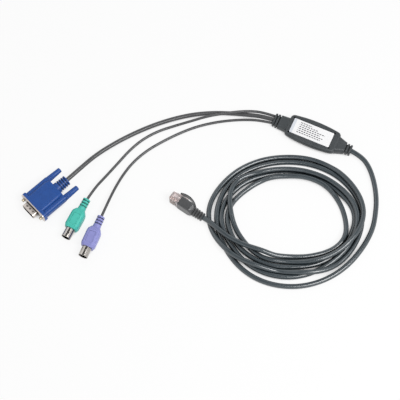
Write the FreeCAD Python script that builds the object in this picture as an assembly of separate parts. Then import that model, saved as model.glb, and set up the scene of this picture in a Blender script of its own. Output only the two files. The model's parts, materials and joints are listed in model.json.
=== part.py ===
import FreeCAD, Part
import math
import os

V = FreeCAD.Vector
UP = V(0, 0, 1)
AHEAD = V(1, 0, 0)
ACROSS = V(0, 1, 0)
tolerance = 1e-4
# Share of a section's half side that its corner may take
largest_corner = 0.96

# Pod: the moulded in-line housing, lying along X with its underside on z = 0
pod_length = 80.0
pod_body_length = 51.5
pod_width = 27.0
pod_shoulder_width = 22.0
pod_height = 10.5
pod_corner = 4.2
pod_edge = 2.2
pod_under_inset = 3.0
pod_under_height = 6.0
pod_belt_round = 2.0
# Neck sections as width and height, at shares of the way from the body's end to the pod's end
branch_neck_root = (14.8, 9.2)
branch_neck_stations = [(1.0, (13.0, 8.2))]
trunk_neck_root = (18.8, 9.4)
trunk_neck_stations = [(0.2, (14.6, 9.0)), (0.5, (11.8, 8.6)), (1.0, (10.6, 8.2))]
neck_corner = 2.8
neck_overlap = 5.0
neck_end_round = 0.8
neck_grooves = 2
neck_groove_width = 1.3
neck_groove_depth = 1.3
neck_groove_pitch = 3.0
neck_groove_inset = 2.4

# Label in its recess on the pod's top
label_end_border = 5.4
label_side_border = 3.05
label_x = -1.2
label_thickness = 0.2
label_corner = 0.8
recess_margin = 0.35
recess_depth = 0.5
dimple_radius = 0.9
dimple_depth = 1.8

# Circuit board inside the pod, held by a ledge all round
board_end_wall = 6.5
board_side_wall = 3.05
board_thickness = 1.0
board_ledge = 1.0
board_clearance = 0.1
board_height = 3.2
space_below = 1.4
space_above = 3.4
main_chip_side = 9.0
main_chip_height = 1.4
main_chip_place = (-8.0, 0.0)
driver_chip_length = 7.6
driver_chip_width = 5.0
driver_chip_height = 1.5
driver_chip_place = (7.0, 3.0)
lead_pitch = 1.27
lead_width = 0.4
lead_reach = 0.9
lead_thickness = 0.25
crystal_length = 10.4
crystal_width = 4.2
crystal_height = 3.0
crystal_corner = 1.9
crystal_place = (8.0, -4.0)

# Cords
video_cord_diameter = 4.2
device_cord_diameter = 2.6
trunk_diameter = 4.8
entry_spacing = 3.9
# Share of the shorter run that an arc takes at each of its ends
arc_share = 0.45

# Ribbed strain reliefs
relief_groove_width = 1.3
relief_groove_depth = 1.1
# The first groove's place, in pitches from the relief's end
relief_first_groove = 0.75

# Video plug: moulded hood, D shell, fifteen pins and two thumbscrews
video_relief_length = 13.0
video_relief_radius = 5.4
video_relief_tip = 5.1
video_relief_pitch = 2.4
video_relief_grooves = 4
hood_length = 27.4
hood_height = 14.0
hood_core_inset = 3.6
hood_rear_step = 1.8
hood_corner = 2.6
hood_rear_taper = 5.0
hood_collar_length = 3.4
hood_collar_round = 0.9
rail_width = 5.4
rail_height = 8.6
rail_corner = 2.6
screw_spacing = 25.0
screw_radius = 1.42
shaft_radius = 1.2
screw_clearance = 0.25
screw_tip = 2.4
screw_tip_gap = 0.2
screw_tip_chamfer = 0.3
knob_length = 15.4
knob_radius = 3.0
knob_tip_radius = 2.4
knob_gap = 0.3
knob_round = 0.8
knob_flutes = 12
knob_flute_radius = 0.3
knob_smooth_end = 5.0
knob_bore_depth = 9.0
knob_slot_width = 0.9
knob_slot_depth = 1.2
flange_lip = 0.6
flange_height = 12.5
flange_thickness = 1.0
flange_corner = 2.2
shell_width = 16.9
shell_height = 8.35
shell_depth = 5.7
shell_wall = 0.5
shell_corner = 2.4
shell_slope = 10.0
shell_dents = 3
shell_dent_pitch = 3.9
shell_dent_radius = 1.0
shell_dent_depth = 0.6
shell_dent_wall = 0.35
insert_back = 4.0
insert_face = 0.5
insert_clearance = 0.06
video_pin_radius = 0.38
video_pin_pitch = 2.29
video_row_pitch = 1.98
video_pin_rows = 3
video_pins_per_row = 5
video_pin_setback = 0.9
pin_seat = 1.0
pin_clearance = 0.04
pin_point = 0.4

# Mini round plugs for mouse and keyboard
round_neck_length = 12.0
round_neck_radius = 3.8
round_neck_tip = 3.6
round_neck_pitch = 2.9
round_neck_grooves = 3
round_body_length = 20.4
round_body_width = 13.2
round_body_height = 12.0
round_body_corner = 3.2
round_shoulder = (9.0, 8.6)
round_front = (11.4, 10.4)
# Shares of the body's length, with the share of the swelling from shoulder to full size there
round_swelling = [(0.0, 0.0), (0.15, 0.85), (0.26, 1.0), (0.87, 1.0)]
round_panel_length = 11.4
round_panel_width = 6.6
round_panel_corner = 1.2
round_panel_depth = 0.35
round_panel_place = 0.54
round_shell_radius = 4.5
round_shell_wall = 0.4
round_shell_reach = 9.4
round_shell_seat = 4.6
round_seat_step = 0.2
round_shell_shoulder = 0.5
round_key_radius = 0.45
round_key_depth = 0.22
round_key_angles = (90, 215, 325)
round_insert_depth = 6.0
round_pin_radius = 0.5
round_pin_setback = 1.2
round_pin_places = [(-1.3, -2.4), (1.3, -2.4), (-3.2, 0.0), (3.2, 0.0), (-2.3, 2.3), (2.3, 2.3)]
round_post = (2.4, 1.3)
round_post_corner = 0.3

# Network plug: clear body, spring latch, contacts, conductors and boot
plug_length = 21.5
plug_width = 11.68
plug_height = 8.0
plug_nose_chamfer = 0.9
contact_pitch = 1.02
contact_count = 8
contact_thickness = 0.36
contact_length = 6.4
contact_rise = 2.7
contact_nose_inset = 1.0
slot_clearance = 0.07
wire_radius = 0.46
wire_room = 0.04
wire_nose_inset = 1.8
wire_tail_inset = 2.0
latch_length = 14.0
latch_thickness = 0.9
latch_wide = 6.2
latch_narrow = 3.3
latch_wide_length = 7.0
latch_angle = 8.0
latch_root_inset = 1.2
latch_gap = 0.1
boot_sleeve_length = 15.4
boot_cover = 11.4
boot_wall = 0.65
boot_corner = 1.6
boot_fit = 0.08
# Shares of the way from the relief to the plug, with the share of the swelling to full size there
boot_swelling = [(0.0, 0.0), (0.2, 0.4), (0.45, 0.72), (0.72, 0.92), (1.0, 1.0)]
boot_relief_length = 11.0
boot_relief_radius = 4.7
boot_relief_tip = 4.1
boot_relief_pitch = 2.6
boot_relief_grooves = 4
boot_slot_width = 7.0
boot_slot_length = 8.0
guard_width = 6.4
guard_thickness = 0.8
guard_height = 2.9
guard_root_inset = 0.4
guard_shoulder = 5.0
guard_tip_drop = 0.2
guard_overhang = 4.0

# Coil: the loose ring of trunk, as high as two layers of it, with hand-chosen outlines
coil_height = 2 * trunk_diameter
coil_flat = 0.24
coil_edge = trunk_diameter / 2 - coil_flat
coil_outer = [
    (-13, -27), (15, -21), (39.5, -23.5), (58.5, -31), (75.5, -52), (80, -75), (74, -103), (58, -125.5),
    (38.5, -141), (16, -148), (-9.5, -148), (-34.5, -138), (-57, -115), (-62.5, -96), (-56.5, -74.5),
    (-40, -47.5),
]
coil_inner = [
    (-4, -49), (20.5, -44.5), (43, -50), (59, -63), (65.5, -80.5), (55.5, -99.5), (38.5, -113),
    (19, -121.5), (-3, -123.5), (-23.5, -116.5), (-37, -103.5), (-36, -83.5), (-23.5, -62),
]

# Where the plugs lie: the end of each strain relief and the way the plug points
video_plug_end = (-192.9, -140.5)
video_plug_heading = 248.0
mouse_plug_end = (-166.9, -149.9)
mouse_plug_heading = 269.0
keyboard_plug_end = (-146.9, -159.8)
keyboard_plug_heading = 272.6
network_plug_end = (-60.4, -121.3)
network_plug_heading = 169.0
network_plug_roll = 90.0

# Route points between the two ends of each free cord, in order from the plug or the pod
video_route = [
    (-187.0, -124.0, 6.4), (-180.8, -105.0, 3.6), (-169.8, -84.9, 2.2), (-157.0, -67.2, 2.2),
    (-143.3, -51.2, 2.2), (-128.5, -37.0, 2.2), (-112.7, -24.9, 2.2), (-95.6, -15.4, 2.2),
    (-78.0, -8.4, 2.4), (-64.0, -4.2, 3.2), (-52.0, -1.2, 4.6),
]
mouse_route = [
    (-165.6, -136.0, 5.6), (-162.4, -121.3, 3.0), (-158.4, -104.0, 1.6), (-153.8, -85.1, 1.4),
    (-147.3, -69.7, 1.4), (-137.8, -56.0, 1.4), (-125.2, -44.0, 1.6), (-112.4, -33.6, 3.6),
    (-100.4, -24.2, 6.4), (-88.2, -15.7, 6.8), (-76.0, -7.8, 6.8), (-64.4, -1.4, 6.3), (-52.4, 2.8, 5.7),
]
keyboard_route = [
    (-147.8, -145.0, 5.8), (-148.9, -128.6, 3.2), (-148.4, -111.3, 1.6), (-145.3, -95.0, 1.4),
    (-138.6, -78.9, 1.4), (-128.9, -63.9, 1.4), (-117.7, -49.0, 1.4), (-105.6, -35.9, 1.4),
    (-92.3, -25.2, 1.6), (-78.3, -16.7, 2.4), (-65.0, -10.6, 3.8), (-52.4, -6.2, 5.0),
]
lead_route = [
    (50.8, -1.2, 5.1), (61.8, -7.8, 3.9), (72.2, -20.6, 2.7), (80.0, -35.4, 2.5), (84.6, -52.4, 2.5),
    (86.2, -70.0, 2.5), (84.2, -87.6, 2.5), (78.2, -104.6, 2.5), (68.6, -120.6, 2.5), (55.8, -135.2, 2.5),
    (40.6, -146.2, 2.5), (23.6, -152.0, 2.5), (5.8, -152.8, 2.5), (-11.6, -149.4, 2.5),
]
lead_end = (-27.4, -142.4, 2.5)
tail_start = (2.0, -128.4, 11.4)
tail_route = [(-13.4, -130.4, 12.6), (-29.0, -130.0, 12.6), (-41.5, -126.9, 11.0), (-53.0, -122.7, 7.0)]

label_length = pod_body_length - 2 * label_end_border
label_width = pod_shoulder_width - 2 * label_side_border
board_length = pod_body_length - 2 * board_end_wall
board_width = pod_shoulder_width - 2 * board_side_wall
board_top = board_height + board_thickness
pod_axis = pod_height / 2
hood_width = screw_spacing + rail_width
hood_core_width = screw_spacing - hood_core_inset
hood_rear = video_relief_length
flange_rear = hood_rear + hood_length
flange_front = flange_rear + flange_thickness
flange_width = hood_width + 2 * flange_lip
video_axis = hood_height / 2
knob_front = hood_rear - knob_gap
knob_rear = knob_front - knob_length
round_front_x = round_neck_length + round_body_length
round_seat_x = round_front_x - round_shell_seat
round_seat_radius = round_shell_radius - round_seat_step
round_step_x = round_front_x + round_shell_shoulder
round_mouth = round_front_x + round_shell_reach
round_axis = round_body_height / 2
round_key_reach = round_shell_radius - round_key_depth
sleeve_front = boot_relief_length + boot_sleeve_length
plug_rear = sleeve_front - boot_cover
plug_nose = plug_rear + plug_length
contact_front = plug_nose - contact_nose_inset
wire_floor = contact_rise - plug_height / 2
boot_width = plug_width + 2 * (boot_wall + boot_fit)
boot_height = plug_height + 2 * (boot_wall + boot_fit)
network_axis = boot_width / 2


def box(x0, x1, y0, y1, z0, z1):
    return Part.makeBox(x1 - x0, y1 - y0, z1 - z0, V(x0, y0, z0))


def rod(radius, x0, x1, y=0.0, z=0.0):
    return Part.makeCylinder(radius, x1 - x0, V(x0, y, z), AHEAD)


def section(x, size, corner):
    half_y, half_z = size[0] / 2, size[1] / 2
    r = min(corner, largest_corner * half_y, largest_corner * half_z)
    y, z = half_y - r, half_z - r
    centres = [(y, z), (-y, z), (-y, -z), (y, -z)]

    def on_corner(i, degrees):
        angle = math.radians(90 * (i % 4) + degrees)
        cy, cz = centres[i % 4]
        return V(x, cy + r * math.cos(angle), cz + r * math.sin(angle))

    edges = []
    for i in range(4):
        edges.append(Part.Arc(on_corner(i, 0), on_corner(i, 45), on_corner(i, 90)).toShape())
        edges.append(Part.LineSegment(on_corner(i, 90), on_corner(i + 1, 0)).toShape())
    return Part.Wire(edges)


def block(x0, x1, size, corner):
    return Part.Face(section(x0, size, corner)).extrude(V(x1 - x0, 0, 0))


def loft(stations, corner, ruled=False):
    return Part.makeLoft([section(x, size, corner) for x, size in sorted(stations)], True, ruled)


def fuse(shape, *others):
    return shape.fuse(list(others)).removeSplitter()


def soften(shape, radius, pick):
    return shape.makeFillet(radius, [edge for edge in shape.Edges if pick(edge)])


def flat_at(edge, x):
    return abs(edge.BoundBox.XMin - x) < tolerance and abs(edge.BoundBox.XMax - x) < tolerance


def along_x(edge):
    return edge.BoundBox.YLength < tolerance and edge.BoundBox.ZLength < tolerance


def level(edge):
    return edge.BoundBox.ZLength < tolerance


def upright(edge):
    return edge.BoundBox.XLength < tolerance and edge.BoundBox.YLength < tolerance


def slab(length, width, z0, z1, place=(0, 0)):
    x, y = place
    return box(x - length / 2, x + length / 2, y - width / 2, y + width / 2, z0, z1)


def ribbed_relief(length, radius, tip, pitch, grooves):
    relief = Part.makeCone(tip, radius, length, V(), AHEAD)
    for i in range(grooves):
        x = pitch * (i + relief_first_groove)
        core = tip + (radius - tip) * x / length - relief_groove_depth
        low, high = x - relief_groove_width / 2, x + relief_groove_width / 2
        relief = relief.cut(rod(2 * radius, low, high).cut(rod(core, low, high)))
    return relief


def tapered_pin(radius, x0, x1, y, z):
    point = Part.makeCone(radius, pin_point * radius, radius, V(x1 - radius, y, z), AHEAD)
    return fuse(rod(radius, x0, x1 - radius, y, z), point)


def placed(shape, end, axis_height, heading, roll=0.0):
    moved = shape.copy()
    moved.rotate(V(), AHEAD, roll)
    moved.rotate(V(), UP, heading)
    moved.translate(V(end[0], end[1], axis_height))
    return moved


def save(name, shape):
    shape.exportStep(os.path.join("parts", name + ".step"))


# Pod and what it holds
def neck(side, root, stations):
    half = pod_body_length / 2
    places = [(side * (half - neck_overlap), root)]
    places += [(side * (half + share * (pod_length / 2 - half)), size) for share, size in stations]
    end_x, end_size = places[-1]
    body = soften(loft(places, neck_corner), neck_end_round, lambda edge: flat_at(edge, end_x))
    core_size = [size - 2 * neck_groove_depth for size in end_size]
    for i in range(neck_grooves):
        x = end_x - side * (neck_groove_inset + i * neck_groove_pitch)
        low, high = x - neck_groove_width / 2, x + neck_groove_width / 2
        core = block(low, high, core_size, neck_corner - neck_groove_depth)
        body = body.cut(box(low, high, -pod_width, pod_width, -pod_height, pod_height).cut(core))
    body.translate(V(0, 0, pod_axis))
    return body


def pod_housing():
    half, shoulder, middle = pod_body_length / 2, pod_shoulder_width / 2, pod_width / 2
    far_side = Part.Arc(V(half, shoulder, 0), V(0, middle, 0), V(-half, shoulder, 0)).toShape()
    near_side = Part.Arc(V(-half, -shoulder, 0), V(0, -middle, 0), V(half, -shoulder, 0)).toShape()
    left = Part.LineSegment(V(-half, shoulder, 0), V(-half, -shoulder, 0)).toShape()
    right = Part.LineSegment(V(half, -shoulder, 0), V(half, shoulder, 0)).toShape()
    body = Part.Face(Part.Wire([far_side, left, near_side, right])).extrude(V(0, 0, pod_height))
    body = soften(body, pod_corner, upright)
    rim = [edge for edge in body.Edges if edge.BoundBox.ZMax < tolerance]
    body = body.makeChamfer(pod_under_height, pod_under_inset, rim)
    body = soften(body, pod_edge, lambda edge: edge.BoundBox.ZMin > pod_height - tolerance)
    belt = pod_under_height
    body = soften(body, pod_belt_round, lambda edge: level(edge) and abs(edge.BoundBox.ZMin - belt) < tolerance)
    branch_neck = neck(-1, branch_neck_root, branch_neck_stations)
    trunk_neck = neck(1, trunk_neck_root, trunk_neck_stations)
    housing = fuse(body, branch_neck, trunk_neck)
    length, width = label_length + 2 * recess_margin, label_width + 2 * recess_margin
    floor = pod_height - recess_depth
    housing = housing.cut(slab(length, width, floor, pod_height, (label_x, 0)))
    for x in (label_x - length / 2, label_x + length / 2):
        for y in (-width / 2, width / 2):
            housing = housing.cut(Part.makeCylinder(dimple_radius, pod_height, V(x, y, floor - dimple_depth)))
    length, width = board_length - 2 * board_ledge, board_width - 2 * board_ledge
    housing = housing.cut(slab(length, width, board_height - space_below, board_top + space_above))
    length, width = board_length + 2 * board_clearance, board_width + 2 * board_clearance
    return housing.cut(slab(length, width, board_height, board_top + board_clearance))


def pod_label():
    low = pod_height - recess_depth
    plate = slab(label_length, label_width, low, low + label_thickness, (label_x, 0))
    return soften(plate, label_corner, upright)


def leaded_chip(length, width, height, place, four_sides):
    foot = board_top + lead_thickness
    pieces = [slab(length, width, foot, foot + height)]
    rows = [(0, length, width), (180, length, width)]
    if four_sides:
        rows += [(90, width, length), (270, width, length)]
    for turn, side, depth in rows:
        count = int(side / lead_pitch)
        for i in range(count):
            x = (i - (count - 1) / 2) * lead_pitch
            lead = slab(lead_width, 2 * lead_reach, board_top, foot, (x, depth / 2))
            lead.rotate(V(), UP, turn)
            pieces.append(lead)
    chip = fuse(*pieces)
    chip.translate(V(place[0], place[1], 0))
    return chip


def crystal_can():
    can = slab(crystal_length, crystal_width, board_top, board_top + crystal_height, crystal_place)
    return soften(can, crystal_corner, upright)


def pod_pieces():
    return {
        "pod_housing": pod_housing(),
        "pod_label": pod_label(),
        "circuit_board": slab(board_length, board_width, board_height, board_top),
        "main_chip": leaded_chip(main_chip_side, main_chip_side, main_chip_height, main_chip_place, True),
        "driver_chip": leaded_chip(driver_chip_length, driver_chip_width, driver_chip_height,
                                   driver_chip_place, False),
        "crystal_can": crystal_can(),
    }


# Video plug, built along +X from the end of its strain relief, with its axis on y = z = 0
def d_prism(x0, x1, inset):
    half_top = shell_width / 2 - inset
    half_height = shell_height / 2 - inset
    half_low = half_top - 2 * half_height * math.tan(math.radians(shell_slope))
    corners = [(half_top, half_height), (-half_top, half_height)]
    corners += [(-half_low, -half_height), (half_low, -half_height)]
    points = [V(x0, y, z) for y, z in corners + corners[:1]]
    prism = Part.Face(Part.makePolygon(points)).extrude(V(x1 - x0, 0, 0))
    return soften(prism, shell_corner - inset, along_x)


def video_pin_places():
    places = []
    for row in range(video_pin_rows):
        shift = video_pin_pitch / 4 * (1 if row % 2 else -1)
        for i in range(video_pins_per_row):
            y = (i - (video_pins_per_row - 1) / 2) * video_pin_pitch + shift
            places.append((y, ((video_pin_rows - 1) / 2 - row) * video_row_pitch))
    return places


def video_hood():
    rear = (hood_core_width - hood_rear_step, hood_height - hood_rear_step)
    full = (hood_core_width, hood_height)
    front = (hood_core_width, flange_height)
    stations = [(hood_rear, rear), (hood_rear + hood_rear_taper, full), (flange_rear, front)]
    rails = block(hood_rear, flange_rear, (hood_width, rail_height), rail_corner)
    relief = ribbed_relief(video_relief_length, video_relief_radius, video_relief_tip,
                           video_relief_pitch, video_relief_grooves)
    collar_rear = flange_rear - hood_collar_length
    collar = block(collar_rear, flange_rear, (flange_width, flange_height), flange_corner)
    collar = soften(collar, hood_collar_round, lambda edge: flat_at(edge, collar_rear))
    hood = fuse(loft(stations, hood_corner, True), rails, relief, collar)
    hood = hood.cut(d_prism(flange_rear - insert_back, flange_rear, shell_wall))
    for y in (-screw_spacing / 2, screw_spacing / 2):
        hood = hood.cut(rod(shaft_radius + screw_clearance, hood_rear, flange_rear, y))
    return hood


def video_shell():
    flange = block(flange_rear, flange_front, (flange_width, flange_height), flange_corner)
    mouth = flange_front + shell_depth
    outer = d_prism(flange_rear, mouth, 0)
    shell = fuse(flange, outer).cut(d_prism(flange_rear, mouth, shell_wall))
    for y in (-screw_spacing / 2, screw_spacing / 2):
        shell = shell.cut(rod(shaft_radius + screw_clearance, flange_rear, flange_front, y))
    lift = shell_height / 2 + shell_dent_radius - shell_dent_depth
    for i in range(shell_dents):
        y = (i - (shell_dents - 1) / 2) * shell_dent_pitch
        for z in (-lift, lift):
            centre = V(flange_front + shell_depth / 2, y, z)
            boss = Part.makeSphere(shell_dent_radius + shell_dent_wall, centre).common(outer)
            shell = shell.fuse(boss).cut(Part.makeSphere(shell_dent_radius, centre))
    return shell.removeSplitter()


def video_insert():
    back, front = flange_rear - insert_back, flange_front + insert_face
    insert = d_prism(back, front, shell_wall + insert_clearance)
    for y, z in video_pin_places():
        insert = insert.cut(rod(video_pin_radius + pin_clearance, back + pin_seat, front, y, z))
    return insert


def video_pins():
    back = flange_rear - insert_back + pin_seat
    tip = flange_front + shell_depth - video_pin_setback
    return Part.makeCompound([tapered_pin(video_pin_radius, back, tip, y, z) for y, z in video_pin_places()])


def thumbscrew_knob(y):
    knob = Part.makeCone(knob_tip_radius, knob_radius, knob_length, V(knob_rear, 0, 0), AHEAD)
    knob = soften(knob, knob_round, lambda edge: flat_at(edge, knob_rear))
    for i in range(knob_flutes):
        angle = 2 * math.pi * i / knob_flutes
        side, lift = knob_radius * math.cos(angle), knob_radius * math.sin(angle)
        knob = knob.cut(rod(knob_flute_radius, knob_rear + knob_smooth_end, knob_front, side, lift))
    knob = knob.cut(rod(shaft_radius, knob_front - knob_bore_depth, knob_front))
    half = knob_slot_width / 2
    knob = knob.cut(box(knob_rear, knob_rear + knob_slot_depth, -knob_radius, knob_radius, -half, half))
    knob.translate(V(0, y, 0))
    return knob


def thumbscrew_screw(y):
    thread = flange_front + screw_tip_gap
    tip = thread + screw_tip
    screw = fuse(rod(shaft_radius, knob_front - knob_bore_depth, thread), rod(screw_radius, thread, tip))
    screw = screw.makeChamfer(screw_tip_chamfer, [edge for edge in screw.Edges if flat_at(edge, tip)])
    screw.translate(V(0, y, 0))
    return screw


def video_pieces():
    side = screw_spacing / 2
    return {
        "video_hood": video_hood(),
        "video_shell": video_shell(),
        "video_insert": video_insert(),
        "video_pins": video_pins(),
        "left_thumbscrew_knob": thumbscrew_knob(side),
        "left_thumbscrew_screw": thumbscrew_screw(side),
        "right_thumbscrew_knob": thumbscrew_knob(-side),
        "right_thumbscrew_screw": thumbscrew_screw(-side),
    }


# Mini round plugs, built the same way
def round_key_places():
    angles = [math.radians(angle) for angle in round_key_angles]
    return [(round_key_reach * math.cos(angle), round_key_reach * math.sin(angle)) for angle in angles]


def round_body():
    full = (round_body_width, round_body_height)
    stations = []
    for share, swelling in round_swelling:
        size = [low + (high - low) * swelling for low, high in zip(round_shoulder, full)]
        stations.append((round_neck_length + share * round_body_length, size))
    stations.append((round_front_x, round_front))
    relief = ribbed_relief(round_neck_length, round_neck_radius, round_neck_tip,
                           round_neck_pitch, round_neck_grooves)
    body = fuse(loft(stations, round_body_corner, True), relief)
    middle = round_neck_length + round_panel_place * round_body_length
    floor, top = round_body_height / 2 - round_panel_depth, round_body_height / 2
    for low, high in ((floor, top), (-top, -floor)):
        panel = slab(round_panel_length, round_panel_width, low, high, (middle, 0))
        body = body.cut(soften(panel, round_panel_corner, upright))
    return body.cut(rod(round_seat_radius, round_seat_x, round_front_x))


def round_shell():
    seat = rod(round_seat_radius, round_seat_x, round_step_x)
    outer = fuse(seat, rod(round_shell_radius, round_step_x, round_mouth))
    shell = outer.cut(rod(round_shell_radius - round_shell_wall, round_seat_x, round_mouth))
    for y, z in round_key_places():
        rib = rod(round_key_radius + round_shell_wall, round_seat_x, round_mouth, y, z).common(outer)
        shell = shell.fuse(rib).cut(rod(round_key_radius, round_step_x, round_mouth, y, z))
    return shell.removeSplitter()


def round_insert():
    front = round_seat_x + round_insert_depth
    insert = rod(round_shell_radius - round_shell_wall - insert_clearance, round_seat_x, front)
    room = round_key_radius + round_shell_wall + insert_clearance
    for y, z in round_key_places():
        insert = insert.cut(rod(room, round_seat_x, front, y, z))
    for y, z in round_pin_places:
        insert = insert.cut(rod(round_pin_radius + pin_clearance, round_seat_x + pin_seat, front, y, z))
    post = block(round_seat_x + pin_seat, round_mouth - round_pin_setback, round_post, round_post_corner)
    return fuse(insert, post)


def round_pins():
    back, tip = round_seat_x + pin_seat, round_mouth - round_pin_setback
    return Part.makeCompound([tapered_pin(round_pin_radius, back, tip, y, z) for y, z in round_pin_places])


def round_pieces():
    return {"body": round_body(), "shell": round_shell(), "insert": round_insert(), "pins": round_pins()}


# Network plug, built with its latch towards +Z and laid on its side when placed
def contact_places():
    return [(i - (contact_count - 1) / 2) * contact_pitch for i in range(contact_count)]


def network_body():
    body = slab(plug_length, plug_width, -plug_height / 2, plug_height / 2, (plug_rear + plug_length / 2, 0))
    body = body.makeChamfer(plug_nose_chamfer, [edge for edge in body.Edges if flat_at(edge, plug_nose)])
    room = contact_pitch * contact_count / 2 + wire_room
    ceiling = wire_floor + 2 * wire_radius + wire_room
    body = body.cut(box(plug_rear, plug_nose - wire_nose_inset, -room, room, wire_floor, ceiling))
    half = contact_thickness / 2 + slot_clearance
    back, front = contact_front - contact_length - slot_clearance, contact_front + slot_clearance
    for y in contact_places():
        body = body.cut(box(back, front, y - half, y + half, -plug_height, wire_floor))
    return body


def network_contacts():
    low, half = slot_clearance - plug_height / 2, contact_thickness / 2
    back = contact_front - contact_length
    blades = [box(back, contact_front, y - half, y + half, low, wire_floor) for y in contact_places()]
    return Part.makeCompound(blades)


def network_conductors():
    back, front = plug_rear + wire_tail_inset, plug_nose - wire_nose_inset
    z = wire_floor + wire_radius
    return Part.makeCompound([rod(wire_radius, back, front, y, z) for y in contact_places()])


def network_latch():
    half = latch_thickness / 2
    knuckle = Part.makeCylinder(half, latch_wide, V(0, -latch_wide / 2, 0), ACROSS)
    wide = box(-latch_wide_length, 0, -latch_wide / 2, latch_wide / 2, -half, half)
    narrow = box(-latch_length, -latch_wide_length, -latch_narrow / 2, latch_narrow / 2, -half, half)
    arm = fuse(knuckle, wide, narrow)
    arm.rotate(V(), ACROSS, latch_angle)
    arm.translate(V(plug_nose - latch_root_inset, 0, plug_height / 2 + latch_gap + half))
    return arm


def snag_guard():
    rear, tip = boot_relief_length - guard_root_inset, sleeve_front + guard_overhang
    base, crest = plug_height / 2, boot_height / 2 + guard_height
    shoulder = rear + guard_shoulder
    low = crest - guard_tip_drop
    outer = [V(rear, 0, base), V(shoulder, 0, crest), V(tip, 0, low)]
    inner = [
        V(rear + 2 * guard_thickness, 0, base),
        V(shoulder + guard_thickness, 0, crest - guard_thickness),
        V(tip, 0, low - guard_thickness),
    ]
    edges = [
        Part.Arc(*outer).toShape(), Part.LineSegment(outer[2], inner[2]).toShape(),
        Part.Arc(*reversed(inner)).toShape(), Part.LineSegment(inner[0], outer[0]).toShape(),
    ]
    strip = Part.Face(Part.Wire(edges)).extrude(V(0, guard_width, 0))
    strip.translate(V(0, -guard_width / 2, 0))
    return strip


def network_boot():
    full = (boot_width, boot_height)
    sections = []
    for share, swelling in boot_swelling:
        x = boot_relief_length + share * (plug_rear - boot_relief_length)
        size = [2 * boot_relief_radius * (1 - swelling) + side * swelling for side in full]
        corner = boot_relief_radius * (1 - swelling) + boot_corner * swelling
        sections.append(section(x, size, corner))
    shoulder = Part.makeLoft(sections, True, True)
    sleeve = block(plug_rear, sleeve_front, full, boot_corner)
    relief = ribbed_relief(boot_relief_length, boot_relief_radius, boot_relief_tip,
                           boot_relief_pitch, boot_relief_grooves)
    boot = fuse(shoulder, sleeve, relief, snag_guard())
    y, z = plug_width / 2 + boot_fit, plug_height / 2 + boot_fit
    pocket = box(plug_rear, sleeve_front, -y, y, -z, z)
    half = boot_slot_width / 2
    slot = box(sleeve_front - boot_slot_length, sleeve_front, -half, half, 0, boot_height / 2)
    return boot.cut(pocket).cut(slot)


def network_pieces():
    return {
        "body": network_body(),
        "latch": network_latch(),
        "contacts": network_contacts(),
        "conductors": network_conductors(),
        "boot": network_boot(),
    }


# Cords: straight runs joined by the largest arcs that the runs allow
def cord_tube(name, points, diameter):
    points = [V(*point) for point in points]
    edges, radii = [], []
    reached = points[0]
    for before, corner, after in zip(points, points[1:], points[2:]):
        into, out = corner - before, after - corner
        reach = arc_share * min(into.Length, out.Length)
        turn = into.getAngle(out)
        into.normalize()
        out.normalize()
        radius = reach / math.tan(turn / 2)
        start, end = corner - into * reach, corner + out * reach
        middle = corner + (out - into).normalize() * (radius / math.cos(turn / 2) - radius)
        edges.append(Part.LineSegment(reached, start).toShape())
        edges.append(Part.Arc(start, middle, end).toShape())
        radii.append(round(radius))
        reached = end
    edges.append(Part.LineSegment(reached, points[-1]).toShape())
    path = Part.Wire(edges)
    circle = Part.Wire(Part.makeCircle(diameter / 2, points[0], points[1] - points[0]))
    tube = path.makePipeShell([circle], True, False)
    ratio = tube.Volume / (path.Length * math.pi * diameter ** 2 / 4)
    print(name, "length", round(path.Length, 1), "volume ratio", round(ratio, 4), "radii", radii)
    return tube


def coil_face(outline):
    curve = Part.BSplineCurve()
    curve.interpolate(Points=[V(x, y, 0) for x, y in outline], PeriodicFlag=True)
    return Part.Face(Part.Wire(curve.toShape()))


def trunk_coil():
    ring = coil_face(coil_outer).cut(coil_face(coil_inner)).extrude(V(0, 0, coil_height))
    return soften(ring, coil_edge, level)


def cord_pieces():
    entry = -pod_length / 2
    video = [(*video_plug_end, video_axis)] + video_route + [(entry, 0, pod_axis)]
    mouse = [(*mouse_plug_end, round_axis)] + mouse_route + [(entry, entry_spacing, pod_axis)]
    keyboard = [(*keyboard_plug_end, round_axis)] + keyboard_route + [(entry, -entry_spacing, pod_axis)]
    lead = [(-entry, 0, pod_axis)] + lead_route + [lead_end]
    tail = [tail_start] + tail_route + [(*network_plug_end, network_axis)]
    return {
        "video_cord": cord_tube("video_cord", video, video_cord_diameter),
        "mouse_cord": cord_tube("mouse_cord", mouse, device_cord_diameter),
        "keyboard_cord": cord_tube("keyboard_cord", keyboard, device_cord_diameter),
        "trunk_lead": cord_tube("trunk_lead", lead, trunk_diameter),
        "trunk_tail": cord_tube("trunk_tail", tail, trunk_diameter),
        "trunk_coil": trunk_coil(),
    }


def build():
    os.makedirs("parts", exist_ok=True)
    for name, shape in pod_pieces().items():
        save(name, shape)
    for name, shape in video_pieces().items():
        save(name, placed(shape, video_plug_end, video_axis, video_plug_heading))
    for piece, shape in round_pieces().items():
        save("mouse_plug_" + piece, placed(shape, mouse_plug_end, round_axis, mouse_plug_heading))
        save("keyboard_plug_" + piece, placed(shape, keyboard_plug_end, round_axis, keyboard_plug_heading))
    for piece, shape in network_pieces().items():
        turned = placed(shape, network_plug_end, network_axis, network_plug_heading, network_plug_roll)
        save("network_plug_" + piece, turned)
    for name, shape in cord_pieces().items():
        save(name, shape)


build()
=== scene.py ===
import bpy
import json
import math
from mathutils import Matrix, Vector


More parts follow.
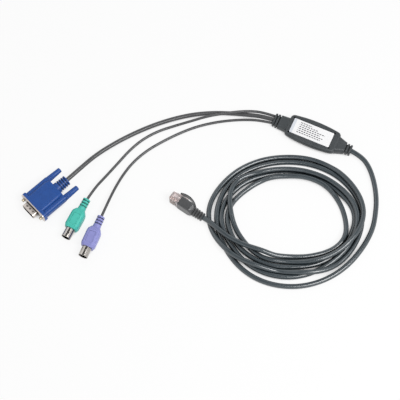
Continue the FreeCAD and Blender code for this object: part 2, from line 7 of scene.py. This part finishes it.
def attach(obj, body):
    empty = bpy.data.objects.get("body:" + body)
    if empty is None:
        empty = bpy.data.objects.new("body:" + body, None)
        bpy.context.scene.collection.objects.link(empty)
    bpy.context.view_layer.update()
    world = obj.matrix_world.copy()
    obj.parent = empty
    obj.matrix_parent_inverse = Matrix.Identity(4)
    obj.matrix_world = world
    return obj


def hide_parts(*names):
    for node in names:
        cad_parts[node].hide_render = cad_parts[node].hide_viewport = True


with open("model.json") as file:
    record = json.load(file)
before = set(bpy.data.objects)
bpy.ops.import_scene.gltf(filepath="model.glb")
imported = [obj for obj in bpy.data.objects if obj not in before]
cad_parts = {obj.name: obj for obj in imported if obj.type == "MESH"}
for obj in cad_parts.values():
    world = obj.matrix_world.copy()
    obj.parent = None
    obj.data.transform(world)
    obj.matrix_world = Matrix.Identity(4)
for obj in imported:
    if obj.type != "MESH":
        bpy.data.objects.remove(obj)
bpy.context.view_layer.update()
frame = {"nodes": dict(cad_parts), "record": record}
nodes = frame["nodes"]
scene = bpy.context.scene
scene.view_settings.view_transform = "Standard"
print("frame:", len(nodes), "nodes")


# Camera at the photograph's angle, high over the near right
camera = {"target": (-0.0713, -0.104, 0.0), "azimuth": 24.5, "elevation": 68.0, "distance": 1.0, "lens": 95.4}


def addCamera(settings):
    azimuth, elevation = math.radians(settings["azimuth"]), math.radians(settings["elevation"])
    level = math.cos(elevation)
    away = Vector((math.sin(azimuth) * level, -math.cos(azimuth) * level, math.sin(elevation)))
    data = bpy.data.cameras.new("camera")
    data.lens = settings["lens"]
    made = bpy.data.objects.new("camera", data)
    made.location = Vector(settings["target"]) + away * settings["distance"]
    made.rotation_euler = (math.pi / 2 - elevation, 0, azimuth)
    scene.collection.objects.link(made)
    scene.camera = made


addCamera(camera)
print("camera placed")


# Cords: one NURBS spline each, from the pod to the plug; each point's radius is half the thickness
cordMesh = {"roundness": 5, "steps": 6}


def addCord(settings):
    points = settings["route"]
    curve = bpy.data.curves.new(settings["name"], "CURVE")
    curve.dimensions = "3D"
    curve.bevel_depth = 1.0
    curve.bevel_resolution = cordMesh["roundness"]
    curve.resolution_u = cordMesh["steps"]
    curve.use_fill_caps = True
    spline = curve.splines.new("NURBS")
    spline.points.add(len(points) - 1)
    for point, place in zip(spline.points, points):
        point.co = (*place, 1)
        point.radius = settings["diameter"] / 2
    spline.order_u = 3
    spline.use_endpoint_u = True
    made = bpy.data.objects.new(settings["name"], curve)
    scene.collection.objects.link(made)
    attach(made, "harness")
    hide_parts(*settings["replaces"])
    made["jacket"] = settings["jacket"]
    return made


videoCord = {
    "name": "videoLine", "jacket": "branch_jacket", "replaces": ["video_cord"],
    "plug": ("video_hood", "video_shell", "video_insert", "video_pins"),
    "diameter": 0.0042, "length": 0.221, "stiffness": "medium", "lay": "loose",
    "route": [
        (-0.0400, 0.0000, 0.00525), (-0.0520, -0.0012, 0.0046),
        (-0.0640, -0.0042, 0.0032), (-0.0780, -0.0084, 0.0024),
        (-0.0956, -0.0154, 0.0022), (-0.1127, -0.0249, 0.0022), (-0.1285, -0.0370, 0.0022),
        (-0.1433, -0.0512, 0.0022), (-0.1570, -0.0672, 0.0022), (-0.1698, -0.0849, 0.0022),
        (-0.1808, -0.1050, 0.0036), (-0.1870, -0.1240, 0.0064), (-0.1929, -0.1405, 0.0070),
    ],
}
mouseCord = {
    "name": "mouseLine", "jacket": "branch_jacket", "replaces": ["mouse_cord"], "plug": "mouse_plug",
    "diameter": 0.0026, "length": 0.217, "stiffness": "medium", "lay": "loose",
    "route": [
        (-0.0400, 0.0039, 0.00525), (-0.0524, 0.0028, 0.0057),
        (-0.0644, -0.0014, 0.0063), (-0.0760, -0.0078, 0.0068),
        (-0.0882, -0.0157, 0.0068), (-0.1004, -0.0242, 0.0064), (-0.1124, -0.0336, 0.0036),
        (-0.1252, -0.0440, 0.0016), (-0.1378, -0.0560, 0.0014), (-0.1473, -0.0697, 0.0014),
        (-0.1538, -0.0851, 0.0014), (-0.1584, -0.1040, 0.0016), (-0.1624, -0.1213, 0.0030),
        (-0.1656, -0.1360, 0.0056), (-0.1669, -0.1499, 0.0060),
    ],
}
keyboardCord = {
    "name": "keyboardLine", "jacket": "branch_jacket", "replaces": ["keyboard_cord"], "plug": "keyboard_plug",
    "diameter": 0.0026, "length": 0.211, "stiffness": "medium", "lay": "loose",
    "route": [
        (-0.0400, -0.0039, 0.00525), (-0.0524, -0.0062, 0.0050),
        (-0.0650, -0.0106, 0.0038), (-0.0783, -0.0167, 0.0024),
        (-0.0923, -0.0252, 0.0016), (-0.1056, -0.0359, 0.0014), (-0.1177, -0.0490, 0.0014),
        (-0.1289, -0.0639, 0.0014), (-0.1386, -0.0789, 0.0014), (-0.1453, -0.0950, 0.0014),
        (-0.1484, -0.1113, 0.0016), (-0.1489, -0.1286, 0.0032), (-0.1478, -0.1450, 0.0058),
        (-0.1469, -0.1598, 0.0060),
    ],
}
trunkCord = {
    "name": "trunkLine", "jacket": "cord_jacket", "plug": "network_plug",
    "replaces": ["trunk_lead", "trunk_coil", "trunk_tail"],
    "diameter": 0.0048, "length": 2.1, "stiffness": "medium", "lay": "coiled",
    "lead": [
        (0.0400, 0.0000, 0.00525), (0.0508, -0.0012, 0.0051), (0.0618, -0.0078, 0.0039),
        (0.0722, -0.0206, 0.0027), (0.0800, -0.0354, 0.0025),
    ],
    "tail": [
        (0.0020, -0.1284, 0.0074), (-0.0134, -0.1304, 0.0078), (-0.0290, -0.1300, 0.0084),
        (-0.0415, -0.1269, 0.0088), (-0.0530, -0.1227, 0.0080), (-0.0604, -0.1213, 0.00657),
    ],
}

# The trunk round the coil: distance from the coil's middle in millimetres at every thirty degrees,
# clockwise from the left as the camera sees it, in rows that are parts of turns; the order says how
# the rows lie on each other, the lowest first
coil = {
    "middle": (0.0100, -0.0823), "turn": 24.5, "start": 180, "every": 30, "steps": 3,
    "climb": 0.2, "give": 0.96, "near": 6, "order": [0, 7, 8, 1, 6, 4, 5, 2, 3],
    "rows": [
        [81.5, 75.2, 72.8, 72.3, 71.8, 69.2],
        [67.6, 62.0, 54.6, 51.8, 55.0, 62.2, 68.8, 68.0],
        [65.5, 59.0, 61.4, 70.8],
        [75.4, 67.0, 60.0, 57.2, 60.5, 65.0, 69.8],
        [62.8, 54.4, 48.5, 50.8, 51.2],
        [54.3, 58.2, 47.2],
        [43.3, 45.7, 53.6, 63.6, 63.6, 61.8, 63.2, 64.0, 63.2],
        [63.4, 53.2, 43.9, 40.3, 42.6, 49.8, 61.6, 60.4, 56.8, 53.6, 56.0, 58.0],
        [57.2, 45.8, 39.4, 36.4, 39.4, 45.4, 51.6, 57.0, 48.2, 43.4, 46.4],
    ],
}


def coilPoints(settings):
    reach = [distance for row in settings["rows"] for distance in row]
    owners = [number for number, row in enumerate(settings["rows"]) for distance in row]
    turned = Matrix.Rotation(math.radians(settings["turn"]), 2)
    points = []
    for i in range(len(reach) - 1):
        before, here = reach[max(i - 1, 0)], reach[i]
        after, beyond = reach[i + 1], reach[min(i + 2, len(reach) - 1)]
        for step in range(settings["steps"]):
            share = step / settings["steps"]
            square, cube = share ** 2, share ** 3
            distance = here * (2 * cube - 3 * square + 1) + after * (3 * square - 2 * cube)
            leaving, arriving = cube - 2 * square + share, cube - square
            distance += (after - before) / 2 * leaving + (beyond - here) / 2 * arriving
            angle = math.radians(settings["start"] + settings["every"] * (i + share))
            flat = turned @ Vector((-math.cos(angle), math.sin(angle))) * distance / 1000
            points.append((flat + Vector(settings["middle"]), owners[i]))
    return points


# Each turn rests on the turns that lie below it, and climbs and falls gently
def settle(cord, settings):
    lead, touching = cord["lead"], settings["give"] * cord["diameter"]
    turns = coilPoints(settings)
    flat = [Vector(point[:2]) for point in lead] + [point for point, owner in turns]
    owners = [None for point in lead] + [owner for point, owner in turns]
    heights = {i: point[2] for i, point in enumerate(lead)}
    near = settings["near"] * settings["steps"]

    def resting(i):
        height = cord["diameter"] / 2
        for j in [j for j in heights if j + 1 in heights and abs(i - j) > near]:
            run = flat[j + 1] - flat[j]
            share = min(1, max(0, (flat[i] - flat[j]).dot(run) / run.length_squared))
            apart = (flat[i] - flat[j] - run * share).length
            if apart < touching:
                below = heights[j] + (heights[j + 1] - heights[j]) * share
                height = max(height, below + math.sqrt(touching ** 2 - apart ** 2))
        return height

    def eased(places, values):
        for i, previous in zip(places[1:], places):
            fall = settings["climb"] * (flat[i] - flat[previous]).length
            values[i] = max(values[i], values[previous] - fall)

    for row in settings["order"]:
        places = [i for i, owner in enumerate(owners) if owner == row]
        values = {i: resting(i) for i in places}
        eased(places, values)
        eased(places[::-1], values)
        heights.update(values)
    route = [(*flat[i], heights[i]) for i in range(len(flat))] + cord["tail"]
    for step, places in ((1, range(len(flat) - 1, 0, -1)), (-1, range(len(lead), len(flat)))):
        for i in places:
            climb = settings["climb"] * math.dist(route[i][:2], route[i + step][:2])
            route[i] = (*route[i][:2], max(route[i][2], route[i + step][2] - climb))
    return route


trunkCord["route"] = settle(trunkCord, coil)
lines = [addCord(settings) for settings in (videoCord, mouseCord, keyboardCord, trunkCord)]
print("cords laid, highest trunk point", round(max(point[2] for point in trunkCord["route"]), 4))


# Shader maths: a socket with operators, and one method for any other node
class Field:
    def __init__(self, tree, socket):
        self.tree, self.socket = tree, socket

    def node(self, kind, inputs, output=0, **settings):
        made = self.tree.nodes.new(kind)
        for name, value in settings.items():
            setattr(made, name, value)
        for key, value in inputs.items():
            if isinstance(value, Field):
                self.tree.links.new(value.socket, made.inputs[key])
            else:
                made.inputs[key].default_value = value
        return Field(self.tree, made.outputs[output])

    def maths(self, operation, *values):
        return self.node("ShaderNodeMath", dict(enumerate(values)), operation=operation)

    def __add__(self, other):
        return self.maths("ADD", self, other)

    def __sub__(self, other):
        return self.maths("SUBTRACT", self, other)

    def __mul__(self, other):
        return self.maths("MULTIPLY", self, other)

    def __truediv__(self, other):
        return self.maths("DIVIDE", self, other)

    def __gt__(self, other):
        return self.maths("GREATER_THAN", self, other)

    def __lt__(self, other):
        return self.maths("LESS_THAN", self, other)

    def __rsub__(self, other):
        return self.maths("SUBTRACT", other, self)

    __radd__ = __add__


def newMaterial(name):
    made = bpy.data.materials.new(name)
    made.use_nodes = True
    tree = made.node_tree
    place = Field(tree, tree.nodes.new("ShaderNodeTexCoord").outputs["Object"])
    return made, tree.nodes["Principled BSDF"], place


def feed(shader, socket, field):
    field.tree.links.new(field.socket, shader.inputs[socket])


def noise(place, scale, detail=2.0):
    return place.node("ShaderNodeTexNoise", {"Vector": place, "Scale": scale, "Detail": detail})


def around(field, spread):
    return (field - 0.5) * spread


def ranged(field, limits):
    low, high = limits
    return field.node("ShaderNodeMapRange", {"Value": field, "From Min": low, "From Max": high})


def mixed(share, first, second):
    return share.node("ShaderNodeMix", {0: share, 6: first, 7: second}, output=2, data_type="RGBA")


def axisOf(place, letter):
    return place.node("ShaderNodeSeparateXYZ", {0: place}, output=letter.upper())


def bumped(shader, height, depth):
    relief = {"Height": height, "Distance": depth, "Strength": 1.0}
    feed(shader, "Normal", height.node("ShaderNodeBump", relief, output="Normal"))


# How open a spot lies to what is round it
def opened(place, reach, limits, nearby=False):
    share = place.node("ShaderNodeAmbientOcclusion", {"Distance": reach}, output="AO",
                       samples=8, only_local=nearby)
    return ranged(share, limits)


# Painted shade: grooves, mouths and the gaps between turns are painted darker where little light reaches them
def hollowShaded(place, tone, settings):
    hollowShade = [part * settings["hollowShade"] for part in settings["dark"]]
    unshaded = opened(place, settings["reach"], settings["shadeLimits"], nearby="sheltered" not in settings)
    return mixed(unshaded, (*hollowShade, 1), tone)


# Moulded plastic and rubber: mottled colour, a fine spark-eroded grain, where given a mould seam, and painted
# shade in grooves and hollows
moulding = {"mottleDetail": 4.0, "grainRub": 0.1, "seamHeight": 3.0}


def moulded(settings):
    made, shader, place = newMaterial(settings["name"])
    mottle = noise(place, settings["mottle"], moulding["mottleDetail"])
    grain = noise(place, settings["grain"])
    shader.inputs["Specular IOR Level"].default_value = settings["shine"]
    tone = mixed(mottle, (*settings["dark"], 1), (*settings["light"], 1))
    # Base colour: the mottled tone with painted shade in grooves and hollows
    feed(shader, "Base Color", hollowShaded(place, tone, settings))
    rubbed = settings["roughness"] + around(mottle, settings["rubbed"])
    feed(shader, "Roughness", rubbed + around(grain, moulding["grainRub"]))
    height = grain
    if "seam" in settings:
        apart = axisOf(place, "z") - settings["seam"]
        seam = apart.maths("ABSOLUTE", apart) < settings["seamWidth"]
        height = grain + seam * moulding["seamHeight"]
    bumped(shader, height, settings["depth"])
    return made


# Inside of a shell: where the surface faces the plug's own axis; the mask for the painted shade inside the
# shells
def insideOf(place, settings):
    heading = math.radians(settings["heading"])
    along = (math.cos(heading), math.sin(heading), 0.0)
    normal = Field(place.tree, place.socket.node.outputs["Normal"])

    def vector(operation, first, second, output="Vector"):
        return place.node("ShaderNodeVectorMath", {0: first, 1: second}, output=output, operation=operation)

    out = vector("SUBTRACT", place, settings["plugEnd"])
    radial = vector("SUBTRACT", out, vector("PROJECT", out, along))
    return vector("DOT_PRODUCT", radial, normal, "Value") < -settings["inward"]


# Plated or gilt metal: smudged gloss and fine drawing marks, painted shade in hollows, and painted shade,
# near black, over the shells' inside surfaces
plating = {"smudgeDetail": 5.0, "smudgeRub": 0.25}


def plated(settings):
    made, shader, place = newMaterial(settings["name"])
    shader.inputs["Metallic"].default_value = 1.0
    smudge = noise(place, settings["smudge"], plating["smudgeDetail"])
    marks = noise(place, settings["marks"])
    # Smudged tone with painted shade in hollows
    tone = hollowShaded(place, mixed(smudge, (*settings["dark"], 1), (*settings["light"], 1)), settings)
    # Painted shade, near black, over the inside surfaces of a shell
    if "plugEnd" in settings:
        tone = mixed(insideOf(place, settings), tone, (*settings["inside"], 1))
    feed(shader, "Base Color", tone)
    feed(shader, "Roughness", settings["roughness"] + around(smudge, plating["smudgeRub"]))
    bumped(shader, marks, settings["depth"])
    return made


# Clear plastic of the network plug: faintly tinted and hazy
clearPlastic = {"name": "clearPlastic", "dark": (0.92, 0.78, 0.77), "light": (0.98, 0.89, 0.88),
                "haze": 260.0, "hazeDetail": 3.0, "hazeRub": 0.1, "roughness": 0.2,
                "through": 0.7, "ior": 1.5}


def clear(settings):
    made, shader, place = newMaterial(settings["name"])
    shader.inputs["Transmission Weight"].default_value = settings["through"]
    shader.inputs["IOR"].default_value = settings["ior"]
    haze = noise(place, settings["haze"], settings["hazeDetail"])
    feed(shader, "Base Color", mixed(haze, (*settings["dark"], 1), (*settings["light"], 1)))
    feed(shader, "Roughness", settings["roughness"] + around(haze, settings["hazeRub"]))
    return made


# Label: white film with plain grey bars of uneven length and a tinted end, laid out in millimetres
labelFilm = {
    "name": "labelFilm", "paper": (0.97, 0.97, 0.97), "shade": (0.92, 0.92, 0.93), "ink": (0.06, 0.062, 0.07),
    "tint": (0.72, 0.75, 0.8), "rowFirst": -20.0, "rowPitch": 2.1, "rowInk": 0.42, "rowStart": -15.0,
    "rowShort": 9.0, "rowSpread": 26.0, "wordPitch": 2.6, "wordGap": 0.3, "wordShift": 7.0,
    "tintEnd": -18.8, "edge": 6.4, "right": 16.5, "mottle": 300.0, "mottleDetail": 3.0,
    "roughness": 0.38, "rub": 900.0, "rubbed": 0.12, "grain": 1800.0, "depth": 0.00001,
}


def labelled(settings):
    made, shader, place = newMaterial(settings["name"])
    x, y = axisOf(place, "x") * 1000.0, axisOf(place, "y") * 1000.0
    row = (y - settings["rowFirst"]) / settings["rowPitch"]
    number = row.maths("FLOOR", row)
    length = row.node("ShaderNodeTexWhiteNoise", {"W": number}, noise_dimensions="1D")
    end = settings["rowStart"] + settings["rowShort"] + length * settings["rowSpread"]
    inside = (x > settings["rowStart"]) * (x < end) * (x < settings["right"])
    inside = inside * (y < settings["edge"]) * (y > -settings["edge"])
    word = x / settings["wordPitch"] + length * settings["wordShift"]
    bar = inside * (row.maths("FRACT", row) < settings["rowInk"])
    bar = bar * (word.maths("FRACT", word) > settings["wordGap"])
    mottle = noise(place, settings["mottle"], settings["mottleDetail"])
    paper = mixed(mottle, (*settings["shade"], 1), (*settings["paper"], 1))
    printed = mixed(bar, paper, (*settings["ink"], 1))
    feed(shader, "Base Color", mixed(x < settings["tintEnd"], printed, (*settings["tint"], 1)))
    rub = noise(place, settings["rub"])
    feed(shader, "Roughness", settings["roughness"] + around(rub, settings["rubbed"]))
    bumped(shader, noise(place, settings["grain"]), settings["depth"])
    return made


# Conductors: each wire in its own colour, counted across the plug, which lies on its side
conductors = {
    "name": "conductorColours", "low": 0.00249, "pitch": 0.00102, "count": 8,
    "roughness": 0.35, "rub": 1200.0, "rubbed": 0.2,
    "colours": [(0.8, 0.55, 0.35), (0.75, 0.22, 0.02), (0.6, 0.75, 0.6), (0.03, 0.12, 0.5),
                (0.55, 0.6, 0.8), (0.02, 0.3, 0.08), (0.7, 0.6, 0.5), (0.2, 0.08, 0.03)],
}


def coloured(settings):
    made, shader, place = newMaterial(settings["name"])
    share = (axisOf(place, "z") - settings["low"]) / (settings["pitch"] * settings["count"])
    ramp = made.node_tree.nodes.new("ShaderNodeValToRGB")
    ramp.color_ramp.interpolation = "CONSTANT"
    for i, colour in enumerate(settings["colours"]):
        stops = ramp.color_ramp.elements
        stop = stops[0] if i == 0 else stops.new(i / settings["count"])
        stop.color = (*colour, 1)
    made.node_tree.links.new(share.socket, ramp.inputs["Fac"])
    feed(shader, "Base Color", Field(made.node_tree, ramp.outputs["Color"]))
    rub = noise(place, settings["rub"])
    feed(shader, "Roughness", settings["roughness"] + around(rub, settings["rubbed"]))
    return made


grip = {"grain": 3000.0, "roughness": 0.42, "rubbed": 0.16, "depth": 0.000012, "shine": 0.4,
        "hollowShade": 0.1, "reach": 0.004, "shadeLimits": (0.3, 0.8), "seamWidth": 0.00012}
plastics = {
    "cord_jacket": {"name": "cordJacket", "dark": (0.027, 0.039, 0.047), "light": (0.046, 0.064, 0.075),
                    "mottle": 120.0, "grain": 1400.0, "roughness": 0.24, "rubbed": 0.1, "depth": 0.000005,
                    "shine": 1.0, "hollowShade": 0.08, "reach": 0.006, "shadeLimits": (0.3, 0.8)},
    # Branch cords: a lighter, greyer copy of the trunk's jacket; the extra lightness is painted highlight
    "branch_jacket": {"name": "branchJacket", "dark": (0.055, 0.056, 0.059), "light": (0.092, 0.093, 0.097),
                      "mottle": 120.0, "grain": 1400.0, "roughness": 0.33, "rubbed": 0.1, "depth": 0.00001,
                      "shine": 0.6, "hollowShade": 0.2, "reach": 0.006, "shadeLimits": (0.3, 0.8)},
    "pod_plastic": {"name": "podPlastic", "dark": (0.044, 0.050, 0.054), "light": (0.066, 0.074, 0.079),
                    "mottle": 150.0, "grain": 3200.0, "roughness": 0.42, "rubbed": 0.18, "depth": 0.00005,
                    "shine": 0.42, "hollowShade": 0.15, "reach": 0.004, "shadeLimits": (0.3, 0.8),
                    "seam": 0.006, "seamWidth": 0.00012},
    "boot_rubber": {"name": "bootRubber", "dark": (0.042, 0.044, 0.047), "light": (0.068, 0.071, 0.075),
                    "mottle": 180.0, "grain": 2600.0, "roughness": 0.32, "rubbed": 0.2, "depth": 0.00004,
                    "shine": 0.8, "hollowShade": 0.15, "reach": 0.004, "shadeLimits": (0.3, 0.8)},
    "blue_plastic": {**grip, "name": "bluePlastic", "dark": (0.009, 0.063, 0.28),
                     "light": (0.015, 0.088, 0.36), "mottle": 160.0, "seam": 0.007},
    "green_plastic": {**grip, "name": "greenPlastic", "dark": (0.056, 0.5, 0.41),
                      "light": (0.09, 0.62, 0.51), "mottle": 170.0, "seam": 0.006},
    "violet_plastic": {**grip, "name": "violetPlastic", "dark": (0.25, 0.26, 0.58),
                       "light": (0.32, 0.33, 0.7), "mottle": 170.0, "seam": 0.006},
    "insulator": {"name": "insulator", "dark": (0.012, 0.012, 0.013), "light": (0.024, 0.024, 0.026),
                  "mottle": 200.0, "grain": 3000.0, "roughness": 0.5, "rubbed": 0.1, "depth": 0.00003,
                  "shine": 0.3, "hollowShade": 0.2, "reach": 0.003, "shadeLimits": (0.3, 0.8)},
    "board": {"name": "board", "dark": (0.012, 0.14, 0.06), "light": (0.03, 0.24, 0.1),
              "mottle": 240.0, "grain": 2400.0, "roughness": 0.4, "rubbed": 0.1, "depth": 0.00003,
              "shine": 0.5, "hollowShade": 0.4, "reach": 0.003, "shadeLimits": (0.1, 0.9)},
    "chip": {"name": "chip", "dark": (0.02, 0.02, 0.022), "light": (0.036, 0.036, 0.04),
             "mottle": 300.0, "grain": 3400.0, "roughness": 0.6, "rubbed": 0.1, "depth": 0.00003,
             "shine": 0.4, "hollowShade": 0.4, "reach": 0.003, "shadeLimits": (0.1, 0.9)},
}
metals = {
    "screw_metal": {"name": "screwMetal", "dark": (0.42, 0.36, 0.27), "light": (0.6, 0.53, 0.4),
                    "smudge": 500.0, "marks": 3200.0, "roughness": 0.34, "depth": 0.00001,
                    "hollowShade": 0.1, "reach": 0.002, "shadeLimits": (0.3, 0.8)},
    "gilt_contact": {"name": "giltContact", "dark": (0.5, 0.4, 0.32), "light": (0.66, 0.55, 0.45),
                     "smudge": 600.0, "marks": 3000.0, "roughness": 0.25, "depth": 0.00001,
                     "hollowShade": 0.2, "reach": 0.002, "shadeLimits": (0.1, 0.9)},
    "bare_metal": {"name": "bareMetal", "dark": (0.5, 0.5, 0.5), "light": (0.68, 0.68, 0.67),
                   "smudge": 400.0, "marks": 2800.0, "roughness": 0.35, "depth": 0.00001,
                   "hollowShade": 0.2, "reach": 0.002, "shadeLimits": (0.1, 0.9)},
}
# Painted shade for the shells: near black where the surface faces the plug's axis
shellInsideShade = {"inside": (0.012, 0.012, 0.012), "inward": 0.0005}
tin = {**shellInsideShade, "dark": (0.52, 0.46, 0.42), "light": (0.78, 0.73, 0.69), "smudge": 320.0,
       "marks": 2600.0, "roughness": 0.4, "depth": 0.00001, "hollowShade": 0.03, "reach": 0.004,
       "shadeLimits": (0.6, 0.99)}
chrome = {**shellInsideShade, "dark": (0.32, 0.3, 0.28), "light": (0.58, 0.55, 0.52), "smudge": 260.0,
          "marks": 2600.0, "roughness": 0.16, "depth": 0.00001, "hollowShade": 0.03, "reach": 0.004,
          "shadeLimits": (0.5, 0.95)}
# Pins sunk in the shells: gilt darker than the contacts, and painted shade in hollows that counts the shells
# round them
pins = {"name": "sunkenPins", "dark": (0.3, 0.24, 0.16), "light": (0.45, 0.36, 0.24), "smudge": 600.0,
        "marks": 3000.0, "roughness": 0.3, "depth": 0.00001, "hollowShade": 0.05, "reach": 0.006,
        "shadeLimits": (0.2, 0.9), "sheltered": True}
videoHeading = 248.0
shells = {
    "video_shell": {**tin, "name": "videoShell", "plugEnd": videoCord["route"][-1], "heading": videoHeading},
    "mouse_plug_shell": {**chrome, "name": "mouseShell", "plugEnd": mouseCord["route"][-1], "heading": 269.0},
    "keyboard_plug_shell": {**chrome, "name": "keyboardShell", "plugEnd": keyboardCord["route"][-1],
                            "heading": 272.6},
}
finishes = {slot: moulded(settings) for slot, settings in plastics.items()}
finishes.update({slot: plated(settings) for slot, settings in metals.items()})
finishes["clear_plastic"] = clear(clearPlastic)
finishes["label_film"] = labelled(labelFilm)
finishes["conductor"] = coloured(conductors)
nodeFinishes = {node: plated(settings) for node, settings in shells.items()}
nodeFinishes.update(dict.fromkeys(("video_pins", "mouse_plug_pins", "keyboard_plug_pins"), plated(pins)))
for subpart in frame["record"]["subparts"]:
    mesh = nodes[subpart["node"]].data
    mesh.materials.clear()
    mesh.materials.append(nodeFinishes.get(subpart["node"]) or finishes[subpart["material_slot"]])
for line in lines:
    line.data.materials.append(finishes[line["jacket"]])
print("materials set:", len(finishes))


# Jackscrew threads: a ridge wound round each screw's tip
thread = {
    "radius": 0.00138, "pitch": 0.00064, "length": 0.0019, "ridge": 0.00014, "steps": 28, "ridgeSides": 8,
    "heading": videoHeading, "plugEnd": videoCord["route"][-1], "start": 0.04175, "side": 0.0125,
}


def threadTree(settings):
    tree = bpy.data.node_groups.new("threadTree", "GeometryNodeTree")
    kinds = {**dict.fromkeys(("Radius", "Turns", "Length", "Ridge"), "Float"), "Finish": "Material"}
    inputs = {}
    for name, kind in kinds.items():
        socket = tree.interface.new_socket(name, in_out="INPUT", socket_type="NodeSocket" + kind)
        inputs[name] = socket.identifier
    tree.interface.new_socket("Geometry", in_out="OUTPUT", socket_type="NodeSocketGeometry")
    source = tree.nodes.new("NodeGroupInput")
    spiral = tree.nodes.new("GeometryNodeCurveSpiral")
    profile = tree.nodes.new("GeometryNodeCurvePrimitiveCircle")
    swept = tree.nodes.new("GeometryNodeCurveToMesh")
    real = tree.nodes.new("GeometryNodeRealizeInstances")
    finish = tree.nodes.new("GeometryNodeSetMaterial")
    result = tree.nodes.new("NodeGroupOutput")
    spiral.inputs["Resolution"].default_value = settings["steps"]
    profile.inputs["Resolution"].default_value = settings["ridgeSides"]
    swept.inputs["Fill Caps"].default_value = True
    wires = [
        (source.outputs["Radius"], spiral.inputs["Start Radius"]),
        (source.outputs["Radius"], spiral.inputs["End Radius"]),
        (source.outputs["Turns"], spiral.inputs["Rotations"]),
        (source.outputs["Length"], spiral.inputs["Height"]),
        (source.outputs["Ridge"], profile.inputs["Radius"]),
        (spiral.outputs[0], swept.inputs["Curve"]), (profile.outputs[0], swept.inputs["Profile Curve"]),
        (swept.outputs[0], real.inputs[0]), (real.outputs[0], finish.inputs["Geometry"]),
        (source.outputs["Finish"], finish.inputs["Material"]), (finish.outputs[0], result.inputs[0]),
    ]
    for start, end in wires:
        tree.links.new(start, end)
    return tree, inputs


def addThread(name, side, body, settings, tree, inputs):
    made = bpy.data.objects.new(name, bpy.data.meshes.new(name))
    scene.collection.objects.link(made)
    modifier = made.modifiers.new("thread", "NODES")
    modifier.node_group = tree
    values = {"Radius": settings["radius"], "Turns": settings["length"] / settings["pitch"],
              "Length": settings["length"], "Ridge": settings["ridge"], "Finish": finishes["screw_metal"]}
    for key, value in values.items():
        modifier[inputs[key]] = value
    solid = bpy.data.meshes.new_from_object(made.evaluated_get(bpy.context.evaluated_depsgraph_get()))
    made.modifiers.clear()
    turn = Matrix.Rotation(math.radians(settings["heading"]), 4, "Z")
    along = Matrix.Translation((settings["start"], side, 0)) @ Matrix.Rotation(math.pi / 2, 4, "Y")
    solid.transform(Matrix.Translation(settings["plugEnd"]) @ turn @ along)
    made.data = solid
    solid.shade_smooth()
    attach(made, body)


tree, inputs = threadTree(thread)
addThread("leftThread", thread["side"], "left_thumbscrew", thread, tree, inputs)
addThread("rightThread", -thread["side"], "right_thumbscrew", thread, tree, inputs)
print("threads wound")


# Floor, soft lights and white surroundings
floor = {"size": 4.0, "colour": (0.93, 0.93, 0.93), "shade": (0.9, 0.9, 0.9), "mottle": 6.0, "roughness": 0.9,
         "glow": 0.86, "reach": 0.006, "open": (0.12, 0.48), "paintedShadow": (0.3, 0.3, 0.3), "drop": 0.0003}
aim = (-0.07, -0.09, 0.0)
lamps = [
    {"name": "keyLamp", "place": (0.55, -0.22, 0.98), "target": aim, "size": 0.6, "power": 9.5},
    {"name": "fillLamp", "place": (-0.7, 0.1, 1.0), "target": aim, "size": 1.0, "power": 2.0},
]
sky = {"level": 0.35, "dim": 0.85, "ceiling": (0.55, 0.95)}


def seenDirectly(field):
    path = field.tree.nodes.new("ShaderNodeLightPath")
    kinds = ("Camera", "Glossy", "Transmission")
    rays = [Field(field.tree, path.outputs["Is " + kind + " Ray"]) for kind in kinds]
    return rays[0].maths("MAXIMUM", rays[0], rays[1].maths("MAXIMUM", rays[1], rays[2]))


def addFloor(settings):
    mesh = bpy.data.meshes.new("floor")
    half, low = settings["size"] / 2, -settings["drop"]
    corners = [(-half, -half, low), (half, -half, low), (half, half, low), (-half, half, low)]
    mesh.from_pydata(corners, [], [(0, 1, 2, 3)])
    made = bpy.data.objects.new("floor", mesh)
    scene.collection.objects.link(made)
    paint, shader, place = newMaterial("floorPaint")
    tone = mixed(noise(place, settings["mottle"]), (*settings["shade"], 1), (*settings["colour"], 1))
    shader.inputs["Roughness"].default_value = settings["roughness"]
    shader.inputs["Specular IOR Level"].default_value = 0.0
    glow = place.node("ShaderNodeEmission", {"Color": (1, 1, 1, 1), "Strength": 1.0})
    surface = Field(place.tree, shader.outputs[0])
    # Painted shadow: in gaps and close beside the cords and plugs the floor stops glowing and turns dark grey
    uncovered = opened(place, settings["reach"], settings["open"])
    feed(shader, "Base Color", mixed(uncovered, (*settings["paintedShadow"], 1), tone))
    share = seenDirectly(place) * uncovered * settings["glow"]
    both = place.node("ShaderNodeMixShader", {0: share, 1: surface, 2: glow})
    place.tree.links.new(both.socket, place.tree.nodes["Material Output"].inputs["Surface"])
    mesh.materials.append(paint)


def addLamp(settings):
    data = bpy.data.lights.new(settings["name"], "AREA")
    data.size = settings["size"]
    data.energy = settings["power"]
    made = bpy.data.objects.new(settings["name"], data)
    made.location = settings["place"]
    made.rotation_euler = (Vector(settings["target"]) - made.location).to_track_quat("-Z", "Y").to_euler()
    scene.collection.objects.link(made)


# White walls and a dimmer ceiling, for the metal to mirror
def addSky(settings):
    world = bpy.data.worlds.new("sky")
    world.use_nodes = True
    scene.world = world
    tree = world.node_tree
    tree.nodes["Background"].inputs["Color"].default_value = (1, 1, 1, 1)
    heading = Field(tree, tree.nodes.new("ShaderNodeTexCoord").outputs["Generated"])
    overhead = ranged(axisOf(heading, "z"), settings["ceiling"])
    mirrored = seenDirectly(heading) * (1.0 - settings["level"] - overhead * settings["dim"])
    feed(tree.nodes["Background"], "Strength", settings["level"] + mirrored)


addFloor(floor)
for settings in lamps:
    addLamp(settings)
addSky(sky)
print("stage lit")

bpy.context.view_layer.update()
